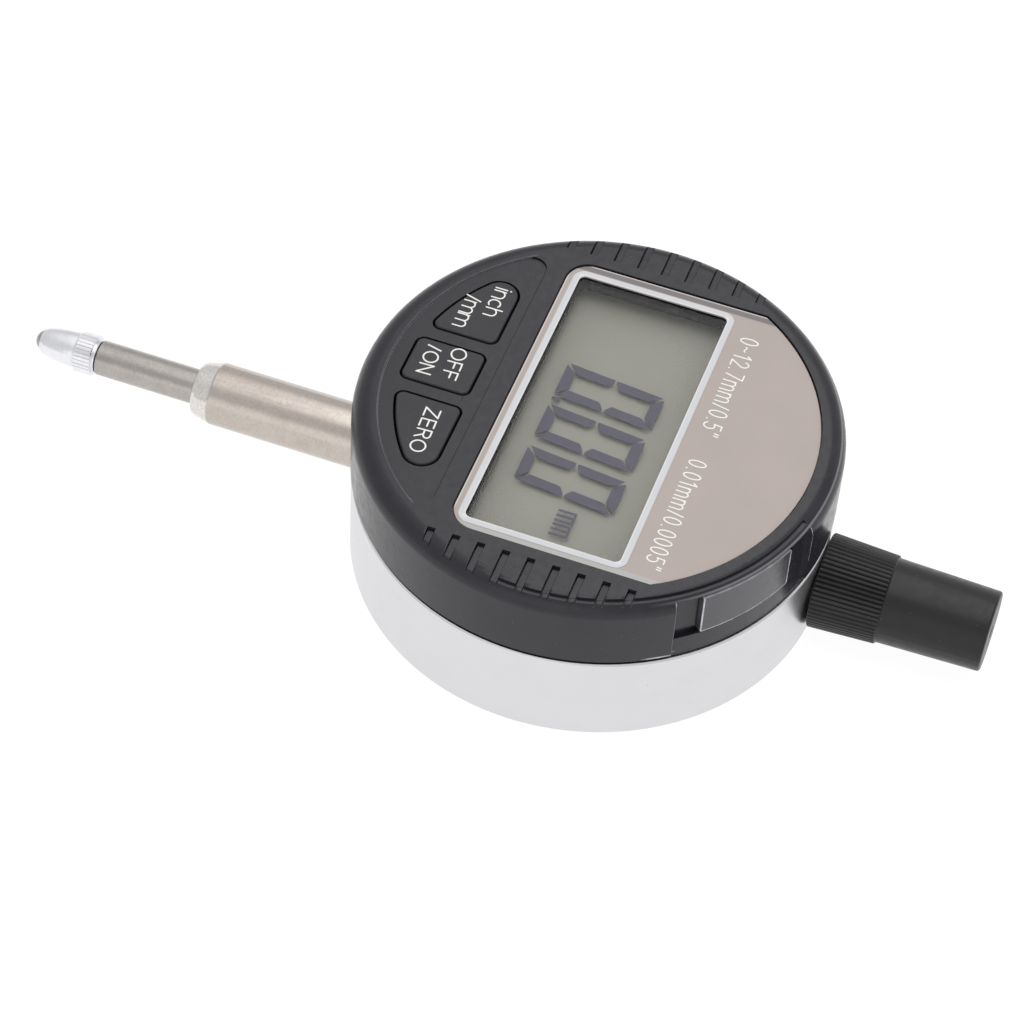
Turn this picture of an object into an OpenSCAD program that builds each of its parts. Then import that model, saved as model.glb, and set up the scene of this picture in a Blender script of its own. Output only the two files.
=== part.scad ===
// Digital dial indicator with a 12.7 mm travel, lying on its flat back.
// +Z points out of the display face, the origin is the middle of the back face,
// the stem points along -Y and the dust cap along +Y.

/* [Case] */
// Radius of the aluminium back case
back_r = 29.54; // [29.2:0.01:29.6]
// Height of the seam between the two cases
seam_z = 13.5; // [13.4:0.05:13.6]
// Radius of the moulded front case
front_r = 29.64; // [29.6:0.01:29.8]
// Height of the display face above the back face
face_z = 24.5; // [24.5:0.05:24.7]
// Radius of the rounded edge of the display face
rim_r = 2.4; // [2.2:0.05:2.5]
// Thickness of the back plate
floor_t = 2.2; // [1.8:0.1:2.4]

/* [Stem and plunger] */
// Height of the stem axis above the back face
axis_z = 6.5; // [6.5:0.05:6.6]
// Diameter of the mounting stem
stem_d = 8; // [7.98:0.01:8]
// Distance from the middle of the case to the tip of the stem
stem_tip = 52.3; // [51:0.1:53]
// Diameter of the spindle
spindle_d = 4.5; // [4.48:0.01:4.5]
// Distance from the middle of the case to the tip of the contact ball
ball_tip = 74.6; // [74:0.1:76]
// Length of travel of the spindle
travel = 12.7; // [10:0.1:12.7]
// Radial clearance between the spindle and its bushes
run_fit = 0.05; // [0.02:0.01:0.08]

/* [Dust cap] */
// Distance from the middle of the case to the end of the cap
cap_end = 51.1; // [50.5:0.1:52]
// Radius of the knurled grip at its base
grip_base_r = 5.95; // [5.8:0.01:6]
// Radius of the knurled grip at its outer end
grip_end_r = 5.57; // [5.5:0.01:5.6]
// Number of ridges round the grip
grip_ridges = 60; // [48:1:64]

/* [Display] */
// Half width of the display opening
view_x = 20.7; // [20.5:0.05:20.8]
// Half height of the display opening
view_y = 9.55; // [9.4:0.05:9.6]
// Offset of the display opening along the case
view_shift = 0.2; // [0:0.05:0.3]
// Height of the digits
digit_h = 12.8; // [11:0.1:13]
// Distance from one digit to the next
digit_pitch = 7.12; // [7:0.01:7.2]

/* [Keys and battery] */
// Travel of a key
key_travel = 0.4; // [0.2:0.05:0.4]
// Gap round a key
key_gap = 0.28; // [0.2:0.01:0.3]
// Direction of the battery tray, anticlockwise from +X
tray_a = 56.1; // [56:0.1:56.2]
// Radius of the button cell
cell_r = 5.8; // [5.7:0.05:5.8]
// Height of the button cell
cell_h = 5.4; // [5.2:0.05:5.4]

/* [Hidden] */
$fn = 96;

eps = 0.05;
over = 1;

back_in_r = 27;
front_in_r = 26.6;
ceiling_z = face_z - rim_r;
neck_r = 29.25;
neck_z = seam_z + 0.85;
spigot_r = 26.95;
spigot_in_r = 25.6;
spigot_z = 11.9;
pad_z = face_z - 0.25;
pad_r = 26.6;
pad_cut = 13.7;
sheet_z = face_z - 0.45;
sheet_top = face_z - 0.2;

stem_r = stem_d / 2;
stem_face_y = 29.66;
stem_in_end = 22;
stem_shank_r = 3.7;
boss_r = 5.3;
boss_out_y = 28;
spindle_r = spindle_d / 2;
bush_r = 3.2;
neck_body_r = 3.7;
bush_bore_r = spindle_r + run_fit;

screw_pos_r = 24.9;
screw_angles = [30, 150, 210, 330];
screw_boss_r = 2.4;
front_boss_r = 1.6;
front_boss_z = 12.1;
screw_boss_top = 11.8;
screw_r = 0.95;
screw_end_z = 15.8;
front_boss_top = 16.4;

pcb_z = 15.2;
pcb_t = 1.2;
pcb_top = pcb_z + pcb_t;
pcb_r = 25.4;
pcb_screws_at = [[-16, 15.5], [-1.5, 21.5], [0, -13.35]];
pcb_boss_r = 1.25;

glass_x = 22.2;
glass_y = 11.1;
holder_x = 22.9;
holder_y = 11.8;
reflector_z = 20.47;
segment_z = 21.12;
lcd_top = 22;

cell_pos_r = 22.6;
cell_z = 17.72;
tray_z = 17.4;
tray_half = 6.55;
tray_top = 23.3;
tray_face_r = 29.3;
cover_z = 16.9;
cover_top = 23.45;
recess_r = 29.2;
recess_from = 36.5;
recess_to = 76.5;
notch_to = 43.4;
notch_from = 37;
notch_r = 28.6;
ledge_from = -6.1;
ledge_r = 28.15;
ledge_z = face_z - 0.5;

guide_x = 11.5;
guide_r = 1;
guide_end = 24.3;
carrier_from = -11.5;
carrier_to = 8.5;
carrier_half = 6;
carrier_z = 2.9;
carrier_top = 13.1;
arm_from_z = 4;
arm_to_z = 9;
spring_x = -11.5;
spring_z = 10.2;
anchor_y = -21;
hook_y = 0.5;
pin_r = 0.6;
pin_top = 11.5;

// Places a shape drawn along +Z so that it lies along +Y, starting at y.
module along_y(y) {
    translate([0, y, axis_z])
        rotate([-90, 0, 0])
            children();
}

// A ring or tube along the stem axis from y0 to y1.
module tube_y(y0, y1, r_out, r_in) {
    along_y(y0)
        difference() {
            cylinder(r = r_out, h = y1 - y0);
            translate([0, 0, -over])
                cylinder(r = r_in, h = y1 - y0 + 2 * over);
        }
}

// A rectangle of half sizes hx and hy about the origin, with round corners.
module round_rect(hx, hy, r) {
    square([2 * hx, 2 * (hy - r)], center = true);
    square([2 * (hx - r), 2 * hy], center = true);
    for (sx = [-1, 1], sy = [-1, 1])
        translate([sx * (hx - r), sy * (hy - r)])
            circle(r = r);
}

module round_bar(hx, hy, r, z0, z1) {
    translate([0, 0, z0])
        linear_extrude(z1 - z0)
            round_rect(hx, hy, r);
}

module block(x0, x1, y0, y1, z0, z1) {
    translate([x0, y0, z0])
        cube([x1 - x0, y1 - y0, z1 - z0]);
}

// Turns and moves a shape to the tray, whose length then lies along +X.
module at_tray() {
    rotate([0, 0, tray_a])
        children();
}

module at_screws() {
    for (a = screw_angles)
        rotate([0, 0, a])
            translate([screw_pos_r, 0, 0])
                children();
}

// Straight grooves cut along the Y axis round a cone: n grooves, depth d.
module grip_grooves(n, y0, y1, r0, r1, d) {
    slope = atan((r1 - r0) / (y1 - y0));
    side = d * sqrt(2);
    for (i = [0 : n - 1])
        translate([0, y0, axis_z])
            rotate([0, i * 360 / n, 0])
                translate([r0, 0, 0])
                    rotate([0, 0, -slope])
                        rotate([0, 45, 0])
                            translate([-side / 2, -over / 2, -side / 2])
                                cube([side, y1 - y0 + over, side]);
}

// Outline between a chord and an arc about the origin, with two round ends.
// The chord is at y = -cut, the arc has radius big, the ends have radius r.
module chord_outline(big, cut, r) {
    end_y = cut + r;
    end_x = sqrt(pow(big - r, 2) - pow(end_y, 2));
    far = 1.4;
    intersection() {
        circle(r = big);
        polygon([
            [-end_x, -cut], [end_x, -cut], [end_x, -end_y], [end_x * far, -end_y * far],
            [end_x * far, -2 * big], [-end_x * far, -2 * big], [-end_x * far, -end_y * far],
            [-end_x, -end_y]
        ]);
    }
    for (s = [-1, 1])
        translate([s * end_x, -end_y])
            circle(r = r);
}

// Outline of a side key, grown by g: a flat top, a straight inner side, an arc below.
module side_key_outline(g) {
    arc_r = 24.4;
    top = 15.45;
    inner = 5.6;
    tip_r = 2.2;
    corner_r = 0.9;
    tip_y = top + tip_r;
    tip_x = sqrt(pow(arc_r - tip_r, 2) - pow(tip_y, 2));
    in_x = inner + corner_r;
    low_y = sqrt(pow(arc_r - corner_r, 2) - pow(in_x, 2));
    up_y = top + corner_r;
    far = 1.5;
    intersection() {
        circle(r = arc_r + g);
        polygon([
            [in_x, -top + g], [tip_x, -top + g], [tip_x, -tip_y], [tip_x * far, -tip_y * far],
            [in_x * far, -low_y * far], [in_x, -low_y], [inner - g, -low_y],
            [inner - g, -up_y], [in_x, -up_y]
        ]);
    }
    translate([tip_x, -tip_y])
        circle(r = tip_r + g);
    translate([in_x, -low_y])
        circle(r = corner_r + g);
    translate([in_x, -up_y])
        circle(r = corner_r + g);
}

module centre_key_outline(g) {
    translate([0, -20])
        round_rect(3.4 + g, 4.3 + g, 0.9 + g);
}

// Outline of the printed sheet, grown by g.
module sheet_outline(g) {
    half = 22.45 + g;
    low = -11.13 - g;
    corner = 3 + g;
    intersection() {
        circle(r = 26.4 + g);
        union() {
            translate([-half, low + corner])
                square([2 * half, 40]);
            translate([-half + corner, low])
                square([2 * (half - corner), corner + over]);
            for (s = [-1, 1])
                translate([s * (half - corner), low + corner])
                    circle(r = corner);
        }
    }
}

// ---- Housing ----

module back_case() {
    chamfer = 0.4;
    lug_half = 2;
    color("gainsboro")
        difference() {
            union() {
                difference() {
                    rotate_extrude()
                        polygon([
                            [0, 0], [back_r - chamfer, 0], [back_r, chamfer],
                            [back_r, seam_z - chamfer / 2], [back_r - chamfer / 2, seam_z], [0, seam_z]
                        ]);
                    translate([0, 0, floor_t])
                        cylinder(r = back_in_r, h = seam_z);
                }
                at_screws()
                    translate([0, 0, over])
                        cylinder(r = screw_boss_r, h = screw_boss_top - over);
                for (y = [-boss_out_y, stem_in_end])
                    along_y(y)
                        cylinder(r = boss_r, h = boss_out_y - stem_in_end);
                for (s = [-1, 1])
                    block(guide_x - lug_half, guide_x + lug_half,
                          s > 0 ? guide_end - 3 : -guide_end, s > 0 ? guide_end : 3 - guide_end,
                          over, axis_z + lug_half);
                translate([spring_x, anchor_y, over])
                    cylinder(r = lug_half, h = arm_to_z - over);
            }
            along_y(-back_r - over)
                cylinder(r = stem_shank_r + 0.02, h = back_r + over - stem_in_end + over);
            along_y(stem_in_end - over)
                cylinder(r = neck_body_r + 0.02, h = back_r);
            at_screws()
                translate([0, 0, -over])
                    cylinder(r = screw_r + 0.15, h = seam_z);
            at_screws()
                translate([0, 0, -eps])
                    cylinder(r1 = 2.05 + eps, r2 = screw_r, h = 1.15 + eps);
            translate([guide_x, -guide_end - over, axis_z])
                rotate([-90, 0, 0])
                    cylinder(r = guide_r + 0.02, h = 2 * guide_end + 2 * over);
            translate([spring_x, anchor_y, 3])
                cylinder(r = pin_r + 0.02, h = arm_to_z);
        }
}

module back_screws() {
    head_z = 0.15;
    color("silver")
        at_screws()
            difference() {
                union() {
                    translate([0, 0, head_z])
                        cylinder(r1 = 1.8, r2 = screw_r - 0.05, h = 1);
                    translate([0, 0, 1])
                        cylinder(r = screw_r, h = screw_end_z - 1);
                }
                for (a = [0, 90])
                    rotate([0, 0, a])
                        translate([-1.1, -0.18, -over])
                            cube([2.2, 0.36, over + 0.75]);
            }
}

// The moulding before anything is cut from it: a cup with a rounded edge and a spigot.
module front_shell() {
    top_r = front_r - rim_r;
    shadow_gap = 0.25;
    rotate_extrude() {
        difference() {
            union() {
                translate([0, seam_z + 0.02])
                    square([neck_r - 0.6, neck_z - seam_z]);
                translate([0, seam_z + shadow_gap])
                    square([neck_r, neck_z - seam_z]);
                translate([0, neck_z])
                    square([front_r, ceiling_z - neck_z]);
                translate([0, neck_z])
                    square([top_r, face_z - neck_z]);
                intersection() {
                    translate([top_r, ceiling_z])
                        circle(r = rim_r);
                    translate([top_r - 1, ceiling_z - 1])
                        square(2 * rim_r);
                }
            }
            translate([0, seam_z - over])
                square([front_in_r, ceiling_z - seam_z + over]);
        }
        translate([spigot_in_r, spigot_z])
            square([spigot_r - spigot_in_r, neck_z - spigot_z]);
    }
}

// Nine parallel grip flutes on each side, run out through the rounded edge. A narrow
// deeper groove outlines the floor of each.
module grip_flutes() {
    pitch = 3.07;
    half = 0.5;
    depth = 0.45;
    groove = 0.13;
    groove_depth = 0.8;
    inner = 24.1;
    for (m = [0, 1])
        mirror([m, 0, 0])
            for (i = [-4 : 4])
                translate([0, i * pitch, 0])
                    difference() {
                        block(inner, inner + 10, -half, half, face_z - groove_depth, face_z + over);
                        block(inner + groove, inner + 11, groove - half, half - groove,
                              ceiling_z, face_z - depth);
                    }
}

// The sector of a ring between two angles, outside radius r.
module wall_sector(a0, a1, r, z0, z1) {
    far = 2 * front_r;
    difference() {
        translate([0, 0, z0])
            linear_extrude(z1 - z0)
                polygon([[0, 0], [far * cos(a0), far * sin(a0)], [far * cos(a1), far * sin(a1)]]);
        translate([0, 0, z0 - over])
            cylinder(r = r, h = z1 - z0 + 2 * over);
    }
}

// The bay that holds the cell and lets the tray out through the wall, with a
// rebate at its mouth for the cover.
module tray_bay() {
    gap = 0.12;
    at_tray() {
        block(front_in_r + 0.3, front_r + over, -tray_half - gap, tray_half + gap,
              cover_z - 0.1, cover_top + 0.1);
        block(cell_pos_r, front_r + over, -tray_half - gap, tray_half + gap,
              tray_z - gap, tray_top + gap);
        translate([cell_pos_r, 0, tray_z - gap])
            cylinder(r = 6.7, h = tray_top - tray_z + 2 * gap);
    }
}

module front_case() {
    color("#3b3b3f")
        difference() {
            union() {
                front_shell();
                at_screws()
                    translate([0, 0, front_boss_z])
                        cylinder(r = front_boss_r, h = front_boss_top - front_boss_z);
                for (p = pcb_screws_at)
                    translate([p[0], p[1], pcb_top])
                        cylinder(r = pcb_boss_r, h = ceiling_z - pcb_top + over / 2);
            }
            at_screws()
                translate([0, 0, spigot_z - over])
                    cylinder(r = screw_r + 0.05, h = screw_end_z - spigot_z + over);
            for (p = pcb_screws_at)
                translate([p[0], p[1], pcb_top - over])
                    cylinder(r = 0.75, h = 3.5 + over);
            translate([0, 0, sheet_z])
                linear_extrude(over)
                    sheet_outline(0.16);
            round_bar(21.65, 10.5, 1.5, face_z - 1.3, face_z);
            translate([view_shift, 0, 0])
                round_bar(view_x - 0.15, view_y - 0.15, 0.8, ceiling_z - over, face_z);
            translate([0, 0, pad_z])
                linear_extrude(over)
                    chord_outline(pad_r, pad_cut, 1.9);
            translate([0, 0, pad_z - 0.12])
                linear_extrude(over)
                    difference() {
                        chord_outline(pad_r, pad_cut, 1.9);
                        chord_outline(pad_r - 0.12, pad_cut + 0.12, 1.78);
                    }
            translate([0, 0, ceiling_z - over])
                linear_extrude(rim_r + 2 * over) {
                    centre_key_outline(key_gap);
                    side_key_outline(key_gap);
                    mirror([1, 0])
                        side_key_outline(key_gap);
                }
            grip_flutes();
            wall_sector(ledge_from, recess_to, ledge_r, ledge_z, face_z + over);
            wall_sector(recess_from, recess_to, recess_r, seam_z - over, face_z + over);
            wall_sector(notch_from, notch_to, notch_r, cover_z, cover_top + 0.12);
            tray_bay();
        }
}

module window_sheet() {
    color("#b7aca3")
        translate([0, 0, sheet_z])
            linear_extrude(sheet_top - sheet_z)
                difference() {
                    sheet_outline(0);
                    translate([view_shift, 0])
                        round_rect(view_x, view_y, 0.8);
                }
}

module window_frame() {
    line = 0.85;
    color("#d8dbe0")
        translate([view_shift, 0, sheet_top])
            linear_extrude(0.05)
                difference() {
                    round_rect(view_x + line, view_y + line, 1.6);
                    round_rect(view_x, view_y, 0.8);
                }
}

module window_glass() {
    color([0.85, 0.9, 0.92, 0.35])
        round_bar(21.6, 10.45, 1.45, face_z - 1.28, sheet_z - 0.02);
}

// ---- Display cell ----

module lcd_front_glass() {
    color([0.8, 0.85, 0.85, 0.3])
        block(-glass_x, glass_x, -glass_y, glass_y, segment_z + 0.08, lcd_top);
}

// The six lit bars of a zero: w by h, bars of thickness t, gap g between bars.
module zero_bars(w, h, t, g) {
    half = h / 2;
    waist = 0.45;
    polygon([[2 * g, h], [w - 2 * g, h], [w - t - g, h - t], [t + g, h - t]]);
    polygon([[2 * g, 0], [w - 2 * g, 0], [w - t - g, t], [t + g, t]]);
    for (m = [0, 1])
        translate([m * w, 0])
            mirror([m, 0])
                for (k = [0, 1])
                    translate([0, half])
                        mirror([0, k])
                            polygon([
                                [0, g], [0, half - 2 * g], [t, half - t - 2 * g],
                                [t, t * 0.5 + g], [waist, g]
                            ]);
}

// The letter m of the unit mark, w by h, strokes of width s.
module unit_m(w, h, s) {
    for (i = [0, 1, 2])
        translate([i * (w - s) / 2, 0])
            square([s, h]);
    translate([0, h - s])
        square([w, s]);
}

module lcd_segments() {
    lean = 0.095;
    first_x = -8.95;
    base_y = -6.95;
    bar_t = 1.35;
    color("#5c5a69")
        translate([0, 0, segment_z])
            linear_extrude(0.06) {
                multmatrix([[1, lean, 0, 0], [0, 1, 0, 0], [0, 0, 1, 0], [0, 0, 0, 1]])
                    for (i = [0, 1, 2])
                        translate([first_x - base_y * lean + i * digit_pitch, base_y])
                            zero_bars(5.5, digit_h, bar_t, 0.14);
                translate([-3.1, -6.95])
                    square([0.5, 1.05]);
                for (i = [0, 1])
                    translate([13.25 + i * 2.15, -0.3])
                        unit_m(1.85, 2.3, 0.3);
            }
}

module lcd_back_glass() {
    color([0.75, 0.8, 0.78, 0.3])
        block(-glass_x, glass_x, -glass_y, glass_y, reflector_z + 0.1, segment_z);
}

module lcd_reflector() {
    color("#96968c")
        block(-glass_x, glass_x, -glass_y, glass_y, reflector_z, reflector_z + 0.1);
}

module lcd_holder() {
    color("whitesmoke")
        difference() {
            block(-holder_x, holder_x, -holder_y, holder_y, pcb_top + 0.05, ceiling_z - 0.05);
            block(-glass_x - 0.1, glass_x + 0.1, -glass_y - 0.1, glass_y + 0.1, reflector_z, face_z);
            block(-20.5, 20.5, -8.6, 8.6, pcb_top - over, face_z);
            for (s = [-1, 1])
                block(-20, 20, s * 9.8 - 0.65, s * 9.8 + 0.65, pcb_top - over, face_z);
        }
}

module zebra_strips() {
    color("#2b2b30")
        for (s = [-1, 1])
            block(-19.9, 19.9, s * 9.8 - 0.55, s * 9.8 + 0.55, pcb_top, reflector_z);
}

// ---- Electronics ----

module pcb() {
    color("darkgreen")
        difference() {
            translate([0, 0, pcb_z])
                cylinder(r = pcb_r, h = pcb_t);
            at_screws()
                translate([0, 0, pcb_z - over])
                    cylinder(r = screw_boss_r + 0.3, h = pcb_t + 2 * over);
            for (p = pcb_screws_at)
                translate([p[0], p[1], pcb_z - over])
                    cylinder(r = 0.85, h = pcb_t + 2 * over);
        }
}

module pcb_screws() {
    color("silver")
        for (p = pcb_screws_at)
            translate([p[0], p[1], 0])
                difference() {
                    union() {
                        translate([0, 0, pcb_z - 1])
                            cylinder(r = 1.4, h = 1);
                        translate([0, 0, pcb_z - 0.5])
                            cylinder(r = 0.7, h = 4.3);
                    }
                    translate([-1.6, -0.2, pcb_z - 1.5])
                        cube([3.2, 0.4, 0.9]);
                }
}

module asic_chip() {
    blob_r = 9;
    blob_h = 1;
    color("black")
        intersection() {
            translate([-8, 0, pcb_top + blob_h - blob_r])
                sphere(r = blob_r);
            translate([-8, 0, pcb_top])
                cylinder(r = 6, h = blob_h + over);
        }
}

module crystal() {
    color("silver")
        translate([6, 3, pcb_top + 1.05])
            rotate([0, 90, 0])
                cylinder(r = 1, h = 6);
}

module chip_capacitors() {
    color("tan")
        for (x = [2 : 3 : 14], y = [-5, -2])
            block(x, x + 2, y, y + 1.25, pcb_top, pcb_top + 0.8);
}

module stator_plate() {
    color("goldenrod")
        block(-7, 7, -11.5, 19.5, pcb_z - 1.2, pcb_z);
}

key_centres = [[-10.3, -18.9], [0, -20.15], [10.3, -18.9]];
key_low = ceiling_z - 0.85;

module switch_domes() {
    dome_r = 5.2;
    dome_h = 0.4;
    color("silver")
        for (p = key_centres)
            translate([p[0], p[1], pcb_top])
                intersection() {
                    difference() {
                        translate([0, 0, dome_h - dome_r])
                            sphere(r = dome_r);
                        translate([0, 0, dome_h - dome_r - 0.1])
                            sphere(r = dome_r);
                    }
                    cylinder(r = 1.9, h = 1);
                }
}

module keypad_rubber() {
    color("dimgray")
        difference() {
            union() {
                translate([0, 0, pcb_top + 0.05])
                    linear_extrude(0.75)
                        chord_outline(25.2, 14.8, 1.2);
                for (p = key_centres)
                    translate([p[0], p[1], pcb_top + 0.5])
                        cylinder(r = 1.6, h = key_low - key_travel - pcb_top - 0.6);
            }
            for (p = key_centres)
                translate([p[0], p[1], pcb_top - over])
                    cylinder(r = 2.3, h = over + 0.55);
        }
}

// ---- Keys ----

key_top = face_z - 0.08;

module side_key() {
    translate([0, 0, key_low])
        linear_extrude(0.8)
            side_key_outline(0.5);
    translate([0, 0, ceiling_z - 0.4])
        linear_extrude(key_top - ceiling_z + 0.4)
            side_key_outline(0);
}

module button_unit() {
    color("#38383c")
        mirror([1, 0, 0])
            side_key();
}

module button_power() {
    color("#38383c") {
        translate([0, 0, key_low])
            linear_extrude(0.8)
                centre_key_outline(0.5);
        translate([0, 0, ceiling_z - 0.4])
            linear_extrude(key_top - ceiling_z + 0.4)
                centre_key_outline(0);
    }
}

module button_zero() {
    color("#38383c")
        side_key();
}

// ---- Battery ----

module battery_holder() {
    color("#2f2f33")
        intersection() {
            at_tray()
                difference() {
                    union() {
                        translate([cell_pos_r, 0, pcb_top + 0.05])
                            cylinder(r = 7, h = 0.55);
                        block(cell_pos_r - 2, front_in_r, -7.3, 7.3, pcb_top + 0.05, pcb_top + 0.6);
                        for (s = [-1, 1])
                            block(cell_pos_r - 2, front_in_r, s * 7 - 0.3, s * 7 + 0.3,
                                  pcb_top + 0.1, ceiling_z - 0.1);
                    }
                    translate([cell_pos_r, 0, pcb_top - over])
                        cylinder(r = 3.5, h = 3);
                }
            translate([0, 0, pcb_top])
                cylinder(r = front_in_r - 0.1, h = face_z);
            block(-front_r, front_r, holder_y + 0.2, front_r, pcb_top, face_z);
        }
}

// The curved cover at the front of the tray, with bevelled edges and round corners.
module tray_cover() {
    bevel = 0.15;
    half_z = (cover_top - cover_z) / 2;
    intersection() {
        translate([front_in_r + 0.4, 0, cover_z + half_z])
            rotate([90, 0, 90])
                linear_extrude(front_r - front_in_r)
                    round_rect(tray_half, half_z, 0.6);
        rotate_extrude()
            polygon([
                [0, cover_z], [tray_face_r - bevel, cover_z], [tray_face_r, cover_z + bevel],
                [tray_face_r, cover_top - bevel], [tray_face_r - bevel, cover_top], [0, cover_top]
            ]);
    }
}

module battery_tray() {
    wall_top = 21.4;
    color("#3b3b3f")
        at_tray()
            difference() {
                union() {
                    block(cell_pos_r, front_in_r + 0.6, -6.35, 6.35, tray_z, wall_top);
                    translate([cell_pos_r, 0, tray_z])
                        cylinder(r = 6.4, h = wall_top - tray_z);
                    tray_cover();
                }
                translate([cell_pos_r, 0, cell_z - 0.02])
                    cylinder(r = cell_r + 0.06, h = cell_h + over);
                translate([cell_pos_r, 0, tray_z - over])
                    cylinder(r = 5.1, h = over + 1);
            }
}

module battery_cell() {
    color("lightgray")
        at_tray()
            translate([cell_pos_r, 0, 0]) {
                translate([0, 0, cell_z])
                    cylinder(r = 5, h = 0.6);
                translate([0, 0, cell_z + 0.5])
                    cylinder(r = cell_r, h = cell_h - 0.5);
            }
}

module battery_contact_positive() {
    color("gold")
        at_tray()
            block(cell_pos_r - 6, cell_pos_r + 2, -1.2, 1.2, tray_top - 0.08, tray_top + 0.08);
}

module battery_contact_negative() {
    color("gold")
        at_tray() {
            translate([cell_pos_r, 0, pcb_top])
                cylinder(r = 2.8, h = 0.2);
            translate([cell_pos_r, 0, pcb_top + 0.2])
                cylinder(r = 1, h = 0.7);
        }
}

// ---- Stem and fixed guides ----

module stem() {
    nose_from = stem_tip - 2.7;
    nose_r = 3.48;
    mouth_r = 2.95;
    color("#bdb5ae")
        translate([0, 0, axis_z])
            rotate([90, 0, 0])
                rotate_extrude()
                    polygon([
                        [2.6, stem_tip], [mouth_r, stem_tip], [3.25, stem_tip - 0.15],
                        [nose_r, stem_tip - 0.6], [stem_r - 0.1, nose_from + 0.25],
                        [stem_r, nose_from], [stem_r, stem_face_y], [stem_shank_r, stem_face_y],
                        [stem_shank_r, stem_in_end], [bush_r + 0.02, stem_in_end],
                        [bush_r + 0.02, stem_tip - 0.8], [2.6, stem_tip - 0.8]
                    ]);
}

module stem_bushings() {
    color("goldenrod") {
        tube_y(-stem_tip + 2.3, -38, bush_r, bush_bore_r);
        tube_y(-34, -stem_in_end - 0.1, bush_r, bush_bore_r);
    }
}

module stem_wiper() {
    color("#303030")
        tube_y(-stem_tip + 0.85, -stem_tip + 2.2, bush_r - 0.05, spindle_r + 0.08);
}

module buffer_washer() {
    color("#202020")
        tube_y(-stem_in_end + 0.05, -stem_in_end + 1.15, 4.2, spindle_r + 0.3);
}

module cap_neck() {
    neck_out_r = 4.31;
    color("goldenrod")
        difference() {
            union() {
                along_y(stem_in_end)
                    cylinder(r = neck_body_r, h = 8);
                along_y(29.62)
                    cylinder(r = neck_out_r, h = 5.4);
            }
            along_y(stem_in_end - over)
                cylinder(r = bush_bore_r, h = 20);
            along_y(28)
                cylinder(r = spindle_r + 0.4, h = 10);
            for (i = [0 : 4])
                along_y(31 + i * 0.75)
                    difference() {
                        cylinder(r = neck_out_r + over, h = 0.3);
                        translate([0, 0, -over])
                            cylinder(r = neck_out_r - 0.12, h = 3);
                    }
        }
}

module guide_rod() {
    color("silver")
        translate([guide_x, -guide_end, axis_z])
            rotate([-90, 0, 0])
                cylinder(r = guide_r, h = 2 * guide_end);
}

module spring_anchor_pin() {
    color("goldenrod")
        translate([spring_x, anchor_y, 3])
            cylinder(r = pin_r, h = pin_top - 3);
}

// ---- Plunger ----

module spindle() {
    front_y = -65.9;
    back_y = 34.5;
    chamfer = 0.25;
    color("#b3aca4")
        difference() {
            translate([0, 0, axis_z])
                rotate([-90, 0, 0])
                    rotate_extrude()
                        polygon([
                            [0, front_y], [spindle_r - chamfer, front_y], [spindle_r, front_y + chamfer],
                            [spindle_r, back_y - chamfer], [spindle_r - chamfer, back_y], [0, back_y]
                        ]);
            along_y(front_y - over)
                cylinder(r = 1.26, h = 6 + over);
        }
}

// The contact point: a threaded shank, a knurled collar and an arched nose
// with a conical seat for the ball.
module contact_point() {
    collar_end = 66.3;
    collar_from = 68.5;
    collar_r = 2.6;
    nose_end = ball_tip - 0.95;
    nose_r = 1.5;
    seat_r = 1.42;
    seat_end = ball_tip - 3.45;
    arch = [for (i = [0 : 8])
        let (u = i / 8)
        [nose_r + (2.3 - nose_r) * sin(90 * pow(u, 0.75)), nose_end + (collar_from + 0.3 - nose_end) * u]];
    color("#d9dade")
        difference() {
            translate([0, 0, axis_z])
                rotate([90, 0, 0])
                    rotate_extrude()
                        polygon(concat(
                            [[0, seat_end], [seat_r, seat_end + seat_r], [seat_r, nose_end]], arch,
                            [[collar_r, collar_from], [collar_r, collar_end + 0.1],
                             [collar_r - 0.1, collar_end], [2.1, collar_end], [2.1, 65.95],
                             [1.2, 65.95], [1.2, 60.5], [0, 60.5]]
                        ));
            grip_grooves(32, -collar_from - 0.1, -collar_end + 0.1, collar_r, collar_r, 0.12);
        }
}

module contact_ball() {
    color("#a9a9ad")
        translate([0, -ball_tip + 1.45, axis_z])
            sphere(r = 1.4);
}

module stop_collar() {
    color("dimgray")
        tube_y(-stem_in_end + 1.4, -stem_in_end + 4.4, 4.2, spindle_r + 0.02);
}

module scale_carrier() {
    color("#2f2f33")
        difference() {
            union() {
                block(-carrier_half, carrier_half, carrier_from, carrier_to, carrier_z, carrier_top);
                block(0, guide_x + 2.1, -6, 2, arm_from_z, arm_to_z);
                block(spring_x - 1.8, 0, -2, 3, arm_from_z, arm_to_z);
            }
            along_y(carrier_from - over)
                cylinder(r = spindle_r + 0.02, h = carrier_to - carrier_from + 2 * over);
            translate([guide_x, -10, axis_z])
                rotate([-90, 0, 0])
                    cylinder(r = guide_r + 0.06, h = 20);
            translate([spring_x, hook_y, arm_from_z + 1])
                cylinder(r = pin_r + 0.02, h = 10);
            translate([-carrier_half - over, -8, axis_z])
                rotate([0, 90, 0])
                    cylinder(r = 1.05, h = carrier_half + over);
        }
}

module scale_strip() {
    color("#c9a227")
        block(-5.5, 5.5, carrier_from, carrier_to, carrier_top, carrier_top + 0.7);
}

module carrier_screw() {
    color("silver")
        difference() {
            translate([-5.9, -8, axis_z])
                rotate([0, 90, 0])
                    cylinder(r = 1, h = 3.6);
            translate([-6.9, -8.2, axis_z - 1.2])
                cube([1.6, 0.4, 2.4]);
        }
}

module spring_hook_pin() {
    color("goldenrod")
        translate([spring_x, hook_y, arm_from_z + 1])
            cylinder(r = pin_r, h = pin_top - arm_from_z - 1);
}

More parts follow.
